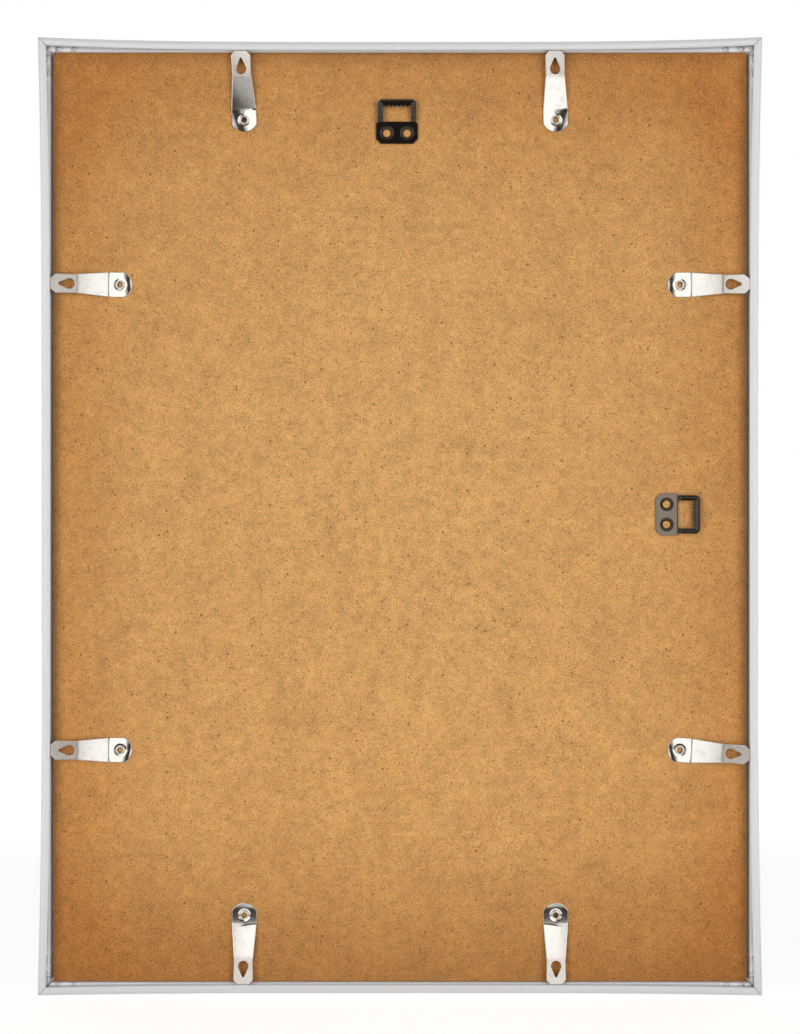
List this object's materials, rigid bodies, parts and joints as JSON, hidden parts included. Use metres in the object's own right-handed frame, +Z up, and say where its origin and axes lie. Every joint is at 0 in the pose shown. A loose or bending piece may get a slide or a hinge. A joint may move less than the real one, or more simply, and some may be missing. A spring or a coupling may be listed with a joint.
{
  "type": "picture frame",
  "caption": "Slim metal picture frame with mitred rails on corner keys, glass, hardboard back, swivel spring clips and saw-tooth hangers for portrait or landscape.",
  "frame": {"origin": "middle of the frame's box: half its width, half its height and half its depth", "axes": "+X to the right for someone looking at the back, +Z up as it hangs in portrait, +Y from the wall into the room, so the back faces -Y"},
  "size_m": [0.31, 0.012, 0.41],
  "materials": {
    "rail_aluminium": "satin, fine lines along the rail",
    "key_steel": "zinc plated",
    "glazing_glass": "clear",
    "insert_paper": "matt, blank",
    "board_hardboard": "hardboard, fine fibres",
    "clip_nickel": "nickel plated spring steel",
    "rivet_nickel": "nickel plated",
    "hanger_black": "glossy black"
  },
  "bodies": {
    "framed_back": {"rail_top": "rail_aluminium", "rail_bottom": "rail_aluminium", "rail_left": "rail_aluminium", "rail_right": "rail_aluminium", "corner_key_top_left": "key_steel", "corner_key_top_right": "key_steel", "corner_key_bottom_left": "key_steel", "corner_key_bottom_right": "key_steel", "glazing": "glazing_glass", "insert_sheet": "insert_paper", "back_board": "board_hardboard", "rivet_top_left": "rivet_nickel", "rivet_top_right": "rivet_nickel", "rivet_right_upper": "rivet_nickel", "rivet_right_lower": "rivet_nickel", "rivet_bottom_right": "rivet_nickel", "rivet_bottom_left": "rivet_nickel", "rivet_left_lower": "rivet_nickel", "rivet_left_upper": "rivet_nickel", "hanger_portrait": "hanger_black", "hanger_landscape": "hanger_black"},
    "swivel_top_left": {"clip_top_left": "clip_nickel"},
    "swivel_top_right": {"clip_top_right": "clip_nickel"},
    "swivel_right_upper": {"clip_right_upper": "clip_nickel"},
    "swivel_right_lower": {"clip_right_lower": "clip_nickel"},
    "swivel_bottom_right": {"clip_bottom_right": "clip_nickel"},
    "swivel_bottom_left": {"clip_bottom_left": "clip_nickel"},
    "swivel_left_lower": {"clip_left_lower": "clip_nickel"},
    "swivel_left_upper": {"clip_left_upper": "clip_nickel"}
  },
  "joints": [
    {"name": "turn_top_left", "type": "hinge", "parent": "framed_back", "child": "swivel_top_left", "pos_m": [-0.0669, -0.00085, 0.1703], "axis": [0, -1, 0], "continuous": true},
    {"name": "turn_top_right", "type": "hinge", "parent": "framed_back", "child": "swivel_top_right", "pos_m": [0.0669, -0.00085, 0.1703], "axis": [0, -1, 0], "continuous": true},
    {"name": "turn_right_upper", "type": "hinge", "parent": "framed_back", "child": "swivel_right_upper", "pos_m": [0.1202, -0.00085, 0.0995], "axis": [0, -1, 0], "continuous": true},
    {"name": "turn_right_lower", "type": "hinge", "parent": "framed_back", "child": "swivel_right_lower", "pos_m": [0.1202, -0.00085, -0.1005], "axis": [0, -1, 0], "continuous": true},
    {"name": "turn_bottom_right", "type": "hinge", "parent": "framed_back", "child": "swivel_bottom_right", "pos_m": [0.0669, -0.00085, -0.1713], "axis": [0, -1, 0], "continuous": true},
    {"name": "turn_bottom_left", "type": "hinge", "parent": "framed_back", "child": "swivel_bottom_left", "pos_m": [-0.0669, -0.00085, -0.1713], "axis": [0, -1, 0], "continuous": true},
    {"name": "turn_left_lower", "type": "hinge", "parent": "framed_back", "child": "swivel_left_lower", "pos_m": [-0.1202, -0.00085, -0.1005], "axis": [0, -1, 0], "continuous": true},
    {"name": "turn_left_upper", "type": "hinge", "parent": "framed_back", "child": "swivel_left_upper", "pos_m": [-0.1202, -0.00085, 0.0995], "axis": [0, -1, 0], "continuous": true}
  ]
}
